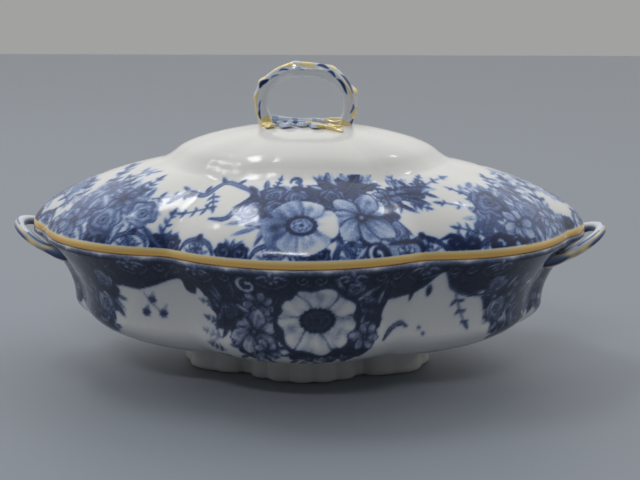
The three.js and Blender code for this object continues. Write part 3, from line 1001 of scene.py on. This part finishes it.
def white_glaze():
    m = Nodes("white_glaze")
    tint = m.noise(60.0, 3.0)
    m.set("Base Color", m.ramp(tint, [(0.3, (0.78, 0.765, 0.73)), (0.7, WHITE)]))
    glaze_finish(m)
    return m.material


def trimmed_glaze():
    """White glaze with brushed navy dashes and gilding, each from its own attribute; the navy's attribute
    also carries painted shade.
    """
    m = Nodes("trimmed_glaze")
    gilded(m, m.ramp(m.attribute("tone"), INK_STOPS))
    glaze_finish(m)
    return m.material


LID_GLAZE = lid_glaze()
BOWL_GLAZE = bowl_glaze()
WHITE_GLAZE = white_glaze()
TRIMMED = trimmed_glaze()


def trim(piece, tone, gilt, body, node):
    """Finishes a piece in white glaze with brushed navy and gilding, from a value per vertex; the tone
    value also carries painted shade.
    """
    store(piece, "tone", tone)
    store(piece, "gilt", gilt)
    dress(piece, TRIMMED, body, "gilded_glaze", node)


def dress(piece, material, body, slot, *nodes):
    """Gives a piece its material and its body, and hides the CAD nodes that it stands for. The slot is not
    used.
    """
    piece.data.materials.append(material)
    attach(piece, body)
    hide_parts(*nodes)


# ---- the pieces


def build_lid():
    """Printed lid with its white dome and the gilt line along its edge."""
    rings, first, count = lid_rings()
    low, high = (0, 0, CROWN_Z - SKIN - LID_WALL), (0, 0, CROWN_Z - SKIN)
    lid = poled_solid("lid_cover", rings, low, high)
    painted = rings[first:first + count]
    plan = painted.reshape(-1, 3)[:, :2]
    ink = Print(painted, lid_surface_point, lid_frame, [plan, -plan])
    print_lid(ink)
    tone = np.zeros(rings.shape[:2])
    tone[first:first + count] = bleed(ink.tone.reshape(painted.shape[:2]))
    gilt = np.zeros(rings.shape[:2])
    edge = slice(first - 2, first + count)
    below = BAND_TOP_Z - rings[edge, :, 2]
    # The gilt thins towards the band's upper edge, so its paler top is a painted highlight.
    gilt[edge] = np.clip(below / GILT_FADE, 0, 1) * np.clip(0.42 + below / 5, 0, 1)
    store(lid, "tone", (tone * (gilt < 0.2)).ravel())
    store(lid, "gilt", gilt.ravel())
    dress(lid, LID_GLAZE, "cover", "printed_glaze", "lid")


def build_bowl():
    """Printed bowl with its flat rim and white inside."""
    rings, first, count = bowl_rings()
    bowl = poled_solid("bowl_body", rings, (0, 0, BASE_Z), (0, 0, FLOOR_Z))
    painted = rings[first:first + count]
    ink = Print(painted, bowl_surface_point, bowl_frame, bowl_flats(painted.reshape(-1, 3)))
    print_bowl(ink)
    tone = np.zeros(rings.shape[:2])
    tone[first:first + count] = bleed(ink.tone.reshape(painted.shape[:2]))
    tone[rings[..., 2] > RIM_Z - PALE_EDGE] *= PALE_SHARE
    store(bowl, "tone", tone.ravel())
    dress(bowl, BOWL_GLAZE, "dish", "printed_glaze", "bowl")


# ---- tubes, leaves and knots


def frames_along(path):
    """Tangent, side and lift at each point of a path, carried along without twisting."""
    tangent = np.gradient(path, axis=0)
    tangent /= np.linalg.norm(tangent, axis=1)[:, None]
    side = np.cross(tangent[0], [0, 0, 1.0] if abs(tangent[0][2]) < 0.9 else [0, 1.0, 0])
    sides = []
    for t in tangent:
        side = side - (side @ t) * t
        side = side / np.linalg.norm(side)
        sides.append(side)
    sides = np.array(sides)
    return tangent, sides, np.cross(tangent, sides)


def even_path(corners, count):
    """Evenly spaced points on the smooth curve through corners."""
    fine = smooth_path(np.array(corners, dtype=float), 60)
    run = lengths(fine)
    want = np.linspace(0, run[-1], count)
    return np.stack([np.interp(want, run, fine[:, i]) for i in range(3)], axis=1)


TIP = 0.3                              # how far a tube's closing point stands out from its last ring


def tube(name, path, radius, around=40):
    """Closed tube round a path. radius(t, theta) gives its size at a share of its length."""
    theta = np.linspace(0, 2 * np.pi, around, endpoint=False)
    tangent, side, lift = frames_along(path)
    rings = []
    for i, centre in enumerate(path):
        r = radius(i / (len(path) - 1), theta)[:, None]
        rings.append(centre + r * (np.cos(theta)[:, None] * side[i] + np.sin(theta)[:, None] * lift[i]))
    first, last = path[0] - tangent[0] * TIP, path[-1] + tangent[-1] * TIP
    return poled_solid(name, rings, first, last), np.array(rings)


def shares_along(path, rings):
    """How far along its path, from 0 to 1, each vertex of a tube lies."""
    return np.repeat(np.linspace(0, 1, len(path)), rings.shape[1])


def spot_mask(points, centres, size):
    """1 near any of the centres, fading to 0 at its size."""
    mask = np.zeros(len(points))
    for centre in centres:
        gap = np.linalg.norm(points - np.array(centre), axis=1)
        mask = np.maximum(mask, np.clip((size - gap) / 0.5, 0, 1))
    return mask


def brushed(t, out, start, end, where, width):
    """Tapered brush stroke along a branch, from start to end, a given way out from its middle."""
    u = np.clip((t - start) / (end - start), 0, 1)
    reach = width * np.sqrt(np.sin(np.pi * u)) - np.abs(out - where - 0.12 * np.sin(5 * u))
    return np.clip(reach / 0.14, 0, 1)


def dome_z(x, y):
    """Height of the lid's dome, and of the dome's foot outside it."""
    angle = np.array([math.atan2(y, x)])
    dome, reach = dome_reach(angle)[0], rim_reach(angle)[0]
    base = slope_z(dome / reach)
    t = min(1, math.hypot(x, y) / dome)
    return float(base + (CROWN_Z - base) * (1 - t**2) ** DOME_ROUNDNESS)


# ---- loop handle of the lid

LOOP_KNOTS = [(-25, 0, 142.8), (-22.8, 0, 150.4), (-5.7, 0, 158.6), (13, 0, 156.4), (24.4, 0, 145.8)]
LOOP_RADIUS = 3.9
THIN_GILT = 0.42                       # gilding brushed thinly over the modelled branches


def loop_path():
    rise = LOOP_HIGH[2] - 5 - CROWN_Z
    shape = [(-19, -4), (-23.5, rise * 0.28), (-21.9, rise * 0.62), (-12.9, rise * 0.93), (0, rise),
             (13.6, rise * 0.9), (22.1, rise * 0.55), (23, rise * 0.22), (19, -4)]
    return even_path([(x, 0, CROWN_Z + up) for x, up in shape], 150)


def build_loop():
    """Branch bent into a loop: ridged bark, pruned knots, brushed dashes and gilding, with painted shade on
    its inner side.
    """
    path = loop_path()

    def radius(t, theta):
        flare = 1.2 * np.exp(-(t / 0.05) ** 2) + 1.2 * np.exp(-((1 - t) / 0.05) ** 2)
        ridge = 0.05 * np.cos(5 * theta + 9 * t) + 0.03 * np.cos(3 * theta - 14 * t)
        return LOOP_RADIUS * (0.93 + ridge + 0.04 * math.sin(31 * t)) + 0.5 * flare

    loop, rings = tube("loop_branch", path, radius, 48)
    points = rings.reshape(-1, 3)
    middle = np.repeat(path, rings.shape[1], axis=0)
    t = shares_along(path, rings)
    outward = points - middle
    for knot in LOOP_KNOTS:
        gap = np.linalg.norm(points - np.array(knot), axis=1)
        points = points + outward * (0.42 * np.exp(-(gap / 2.6) ** 2))[:, None]
    for i, point in enumerate(points):
        loop.data.vertices[i].co = Vector(point * MM)
    centre = np.array([0, 0, CROWN_Z + 13])
    out = np.einsum("ij,ij->i", outward, middle - centre)
    out /= np.linalg.norm(outward, axis=1) * np.linalg.norm(middle - centre, axis=1)
    gilt = spot_mask(points, LOOP_KNOTS, 3.0)
    # Painted shade: the branch's inner side, facing the loop's middle, is a little darker.
    tone = 0.03 + 0.05 * np.clip(0.3 - out, 0, 1)
    for start, end, where, width, depth in LOOP_DASHES:
        tone = np.maximum(tone, depth * brushed(t, out, start, end, where, width))
    for start, end, where, width in LOOP_GILDING:
        gilt = np.maximum(gilt, brushed(t, out, start, end, where, width))
    trim(loop, np.maximum(tone, 0.5 * gilt), THIN_GILT * gilt, "cover", "lid_loop_handle")


def build_loop_base():
    """Low branch on the crown between the loop's feet, gilded at its right end."""
    bends = [(-18.5, 1.4), (-12, 0.9), (-3, 0.3), (6, 0.5), (15, 0.4), (23.5, 0.9)]
    path = even_path([(x, 0, CROWN_Z + up) for x, up in bends], 80)

    def radius(t, theta):
        spread = 0.92 + 0.12 * math.cos(6.3 * t) + 0.05 * math.sin(27 * t)
        return 2.3 * (spread + 0.05 * np.cos(4 * theta + 15 * t))

    base, rings = tube("loop_base", path, radius, 40)
    t = shares_along(path, rings)
    gilt = np.clip((t - 0.62) / 0.1, 0, 1) * 0.8
    tone = 0.12 + 0.2 * (np.sin(26 * t) > 0.6) + 0.3 * gilt
    trim(base, tone, THIN_GILT * gilt, "cover", "lid_loop_handle")


# Start and end along the loop, how far out on the branch (1 outer, -1 inner), how wide, how dark.
LOOP_DASHES = [
    (0.07, 0.13, 0.35, 0.25, 0.9), (0.12, 0.18, 0.05, 0.2, 0.7), (0.23, 0.30, 0.45, 0.32, 1.0),
    (0.30, 0.36, 0.1, 0.2, 0.6), (0.36, 0.42, 0.3, 0.22, 0.8), (0.45, 0.50, 0.1, 0.18, 0.6),
    (0.56, 0.63, 0.7, 0.25, 0.9), (0.62, 0.68, 0.2, 0.25, 0.8), (0.68, 0.80, 0.75, 0.25, 0.9),
    (0.68, 0.79, 0.0, 0.28, 1.0), (0.84, 0.90, 0.3, 0.22, 0.7), (0.91, 0.97, 0.65, 0.28, 0.8),
]
# The same without how dark.
LOOP_GILDING = [
    (0.0, 0.08, 0.0, 1.2), (0.06, 0.22, 0.7, 0.35), (0.24, 0.30, 0.95, 0.3), (0.32, 0.46, 0.8, 0.3),
    (0.47, 0.56, 0.7, 0.4), (0.60, 0.66, 0.95, 0.3), (0.70, 0.84, 0.35, 0.2), (0.86, 0.92, 0.7, 0.45),
    (0.94, 1.0, 0.0, 1.3),
]


# ---- sprig at the loop's foot


def leaf_piece(name, root, heading, length, width, lift, gilt_from):
    """Plump curled leaf that lies on the dome."""
    steps, around = 36, 40
    theta = np.linspace(0, 2 * np.pi, around, endpoint=False)
    way = np.array([math.cos(heading), math.sin(heading)])
    across = np.array([-way[1], way[0]])
    rings, tone, gilt = [], [], []
    for i in range(steps):
        t = (i + 0.5) / steps
        half = width / 2 * math.sin(math.pi * t**0.8) ** 0.8 * (1 + 0.08 * math.sin(11 * math.pi * t))
        wave = 1.3 * math.sin(2.2 * math.pi * t)
        ring = []
        for angle in theta:
            u = math.cos(angle) * half
            spot = np.array(root) + way * length * t + across * (u + wave)
            arch = 1.5 * (1 - (u / max(half, 0.1)) ** 2) - 0.7 * math.exp(-(u / 0.5) ** 2)
            thick = (0.5 + arch * min(1, half / 1.5)) * (1 if math.sin(angle) > 0 else -0.25)
            up = lift + 1.2 * t**2 + thick * abs(math.sin(angle)) ** 0.7
            ring.append([*spot, dome_z(*spot) + up])
            vein = math.exp(-(u / 0.45) ** 2) + 0.5 * (math.cos((t * 6 - abs(u) / 3) * 2 * math.pi) > 0.6)
            tone.append(min(1, 0.15 + 0.7 * vein * (0.3 + 0.7 * (1 - t))))
            gilt.append(float(np.clip((t - gilt_from) / 0.05, 0, 1)))
        rings.append(ring)
    ends = [np.mean(rings[0], axis=0), np.mean(rings[-1], axis=0) + [*way * length * 0.02, 0]]
    leaf = poled_solid(name, rings, *ends)
    trim(leaf, np.array(tone) * 0.8, np.array(gilt) * THIN_GILT, "cover", "lid_handle_sprig")


def build_sprig():
    """Leafy twig that trails from the loop's left foot across the front of the dome."""
    plan = [(-22, -6.5), (-13, -9), (-2, -10.5), (9, -14), (20, -19.5)]
    lift = [0.2, 1.0, 1.6, 1.0, 0.2]
    path = even_path([(x, y, dome_z(x, y) + up) for (x, y), up in zip(plan, lift)], 90)

    def radius(t, theta):
        return 1.55 * (1 - 0.45 * t) * (1 + 0.07 * np.cos(4 * theta + 20 * t) + 0.05 * math.sin(40 * t))

    stem, rings = tube("sprig_stem", path, radius, 28)
    t = shares_along(path, rings)
    gilt = np.maximum(np.clip((t - 0.5) / 0.04, 0, 1), np.clip((0.1 - t) / 0.03, 0, 1))
    tone = 0.25 + 0.4 * (np.sin(t * 50) > 0.2) * (1 - gilt)
    trim(stem, tone, THIN_GILT * gilt, "cover", "lid_handle_sprig")
    leaves = [
        ((-21, -8), 1.74, 9.5, 6, 0.0), ((-14, -8.5), 1.78, 12, 7, 1.1), ((-7, -10), 1.9, 11, 5, 1.1),
        ((1, -11.5), 1.82, 11, 5.5, 0.75), ((9, -13), 1.93, 11, 4.5, 0.3),
    ]
    for i, (root, heading, length, width, gilt_from) in enumerate(leaves):
        leaf_piece(f"sprig_leaf_{i + 1}", root, heading * math.pi, length, width, 0.2, gilt_from)


# ---- handles at the ends


HANDLE_RADIUS = 2.85


def build_end_handle(side, name, node):
    """Small loop under the rim, gilded in thin streaks along its outer edge, with painted shade on its
    underside.
    """
    reach = HANDLE_HIGH[0] - HANDLE_RADIUS - 0.05
    half = [(121.5, -23.2, 61.0), (131, -22.4, 63.8), (141, -19, 67.6), (151.5, -11.5, 73.2)]
    corners = half + [(reach, 0, 75)] + [(x, -y, z) for x, y, z in reversed(half)]
    path = even_path([(side * x, side * y, z) for x, y, z in corners], 90)

    def radius(t, theta):
        from_end = min(t, 1 - t)
        root = math.exp(-((from_end / 0.1) ** 2))
        swell = 0.93 + 0.28 * root + 0.04 * math.sin(9 * math.pi * t)
        rounded = math.sqrt(1 - (1 - min(1, from_end / 0.035 + 0.04)) ** 2)
        return HANDLE_RADIUS * swell * rounded * (1 + 0.04 * np.cos(4 * theta + 6 * t))

    handle, rings = tube(name, path, radius, 40)
    points = rings.reshape(-1, 3)
    middle = np.repeat(path, rings.shape[1], axis=0)
    outward = points - middle
    outward /= np.linalg.norm(outward, axis=1)[:, None]
    away = middle * [1, 1, 0] - [side * 120, 0, 0]
    away /= np.linalg.norm(away, axis=1)[:, None]
    out = np.einsum("ij,ij->i", outward, away)
    t = shares_along(path, rings)
    # Painted shade: low darkens the handle where its surface faces downwards.
    low = np.clip(0.3 - outward[:, 2], 0, 1)
    line = np.clip(1 - np.abs(out - 0.25 - 0.1 * np.sin(17 * t)) / 0.22, 0, 1) * (np.sin(26 * t) > -0.5)
    streak = np.clip(1.2 - np.abs(out - 0.7 + 0.15 * np.sin(22 * t)) / 0.22, 0, 1)
    gilt = streak * (0.25 + 0.2 * np.sin(31 * t) ** 2)
    tone = np.clip(0.1 + 0.75 * line + 0.7 * low + 0.5 * np.clip(out - 0.2, 0, 1), 0, 0.92)
    trim(handle, tone, gilt, "dish", node)


# ---- foot and locating rim


def build_foot():
    """Fluted foot ring, waisted a little between its two edges."""
    outline = disc_union_radius(FOOT_DISCS, FOOT_SOFTNESS, angles) - SKIN
    lobe = np.sqrt(np.cos(SCALLOPS / 2 * angles) ** 2 + 0.02)
    outline += SCALLOP_DEPTH * (1 - 2.6 * (1.01 - lobe))
    top = FOOT_HIGH[2]
    outer = [(0.975, 0.0), (0.995, 0.4), (1.0, 1.4), (0.995, 3), (0.986, 5), (0.984, 7), (0.992, 10),
             (1.008, 13), (1.019, top)]
    rings = [at(outline * share, angles, z) for share, z in outer]
    rings += [at(outline * share - FOOT_WALL, angles, z) for share, z in reversed(outer[2:])]
    rings.append(at(outline - FOOT_WALL + 1, angles, 0.0))
    foot = ring_solid("foot", rings)
    dress(foot, WHITE_GLAZE, "dish", "white_glaze", "foot_ring")


def build_locating_rim():
    """Low wall under the lid that drops inside the bowl."""
    reach = rim_reach(angles)
    low, high = LOCATING_LOW[2], LOCATING_TOP_Z
    outer = LOCATING_SHARE * reach - LOCATING_GAP - SKIN
    rings = [at(outer - inset, angles, z) for inset, z in (
        (0.8, low), (0.2, low + 0.4), (0, low + 1.2), (0, SEAT_Z), (0, high),
        (4, high), (4, low + 1.2), (3.6, low + 0.3), (3, low),
    )]
    rim = ring_solid("locating_rim", rings)
    dress(rim, WHITE_GLAZE, "cover", "white_glaze", "lid_locating_rim")


# ---- camera, light and floor


VIEW_ANGLE = math.radians(32.8076)     # across the picture
CAMERA_DISTANCE, CAMERA_Z = 0.570, 0.196
CAMERA_BEARING = math.radians(4)       # to the right of the dish's front
CAMERA_AIM = math.radians(0.74)        # how far to the right of the dish's middle it looks
CAMERA_DIP = math.radians(12.8)        # how far below level it looks


def place_camera():
    camera = bpy.data.cameras.new("camera")
    camera.angle = VIEW_ANGLE
    camera.clip_start = 0.01
    holder = bpy.data.objects.new("camera", camera)
    bpy.context.scene.collection.objects.link(holder)
    across = CAMERA_DISTANCE * math.sin(CAMERA_BEARING)
    back = CAMERA_DISTANCE * math.cos(CAMERA_BEARING)
    holder.location = (across, -back, CAMERA_Z)
    holder.rotation_euler = (math.pi / 2 - CAMERA_DIP, 0, CAMERA_BEARING - CAMERA_AIM)
    bpy.context.scene.camera = holder


def area_light(name, spot, target, size, power):
    """Rectangle of daylight that faces a target."""
    light = bpy.data.lights.new(name, "AREA")
    light.shape = "RECTANGLE"
    light.size, light.size_y = size
    light.energy = power
    light.color = DAYLIGHT
    holder = bpy.data.objects.new(name, light)
    bpy.context.scene.collection.objects.link(holder)
    holder.location = spot
    holder.rotation_euler = (Vector(target) - Vector(spot)).to_track_quat("-Z", "Y").to_euler()


# Skylights that show as highlights on the dome: middle of each, then width and depth, in metres.
SKYLIGHTS = {
    "skylight_left": ((-0.60, 0.25), (0.24, 0.55)),
    "skylight_far_left": ((-1.08, 0.12), (0.15, 0.12)),
    "skylight_right": ((0.72, 0.62), (0.14, 0.16)),
}
CEILING_Z = 1.6
DAYLIGHT = (0.97, 0.99, 1.0)
SKYLIGHT_GLOW = 9                      # radiance
WINDOW_SPOT, WINDOW_TARGET = (-0.30, -1.55, 1.60), (0, 0, 0.1)
WINDOW_SIZE, WINDOW_POWER = (0.9, 0.14), 8


def build_windows():
    """Skylights in the ceiling and one long, low window in front."""
    for name, ((x, y), (width, depth)) in SKYLIGHTS.items():
        power = SKYLIGHT_GLOW * math.pi * width * depth
        area_light(name, (x, y, CEILING_Z), (x, y, 0), (width, depth), power)
    area_light("window", WINDOW_SPOT, WINDOW_TARGET, WINDOW_SIZE, WINDOW_POWER)


def build_floor():
    """Plain floor a hair below the foot, so that the two faces don't flicker."""
    half, drop = 3.0, 0.0002
    corners = [(-half, -half, -drop), (half, -half, -drop), (half, half, -drop), (-half, half, -drop)]
    mesh = bpy.data.meshes.new("floor")
    mesh.from_pydata(corners, [], [(0, 1, 2, 3)])
    floor = bpy.data.objects.new("floor", mesh)
    bpy.context.scene.collection.objects.link(floor)
    m = Nodes("floor")
    m.set("Base Color", (0.265, 0.292, 0.335, 1))
    m.set("Roughness", 0.6)
    floor.data.materials.append(m.material)


# Along each axis: where the sky starts and stops changing, and its strength at those two.
SKY_RANGES = {"Z": (0.0, 0.5, 0.34, 1.02), "Y": (-0.6, 0.3, 0.07, 1.06)}


def build_sky():
    """Soft room light: brightest overhead, grey at eye level and dimmest behind the viewer."""
    world = bpy.data.worlds.new("sky")
    world.use_nodes = True
    tree = world.node_tree
    where = tree.nodes.new("ShaderNodeTexCoord")
    split = tree.nodes.new("ShaderNodeSeparateXYZ")
    tree.links.new(where.outputs["Generated"], split.inputs[0])
    strength = tree.nodes.new("ShaderNodeMath")
    strength.operation = "MULTIPLY"
    for slot, (axis, limits) in enumerate(SKY_RANGES.items()):
        spread = tree.nodes.new("ShaderNodeMapRange")
        tree.links.new(split.outputs[axis], spread.inputs[0])
        for i, limit in enumerate(limits):
            spread.inputs[i + 1].default_value = limit
        tree.links.new(spread.outputs[0], strength.inputs[slot])
    background = tree.nodes["Background"]
    background.inputs[0].default_value = (1.0, 1.0, 0.99, 1)
    tree.links.new(strength.outputs[0], background.inputs[1])
    bpy.context.scene.world = world


place_camera()
build_floor()
build_windows()
build_sky()
bpy.context.scene.view_settings.view_transform = "Standard"

build_lid()
build_bowl()
build_foot()
build_locating_rim()
build_loop()
build_loop_base()
build_sprig()
build_end_handle(-1, "handle_left", "left_handle")
build_end_handle(1, "handle_right", "right_handle")
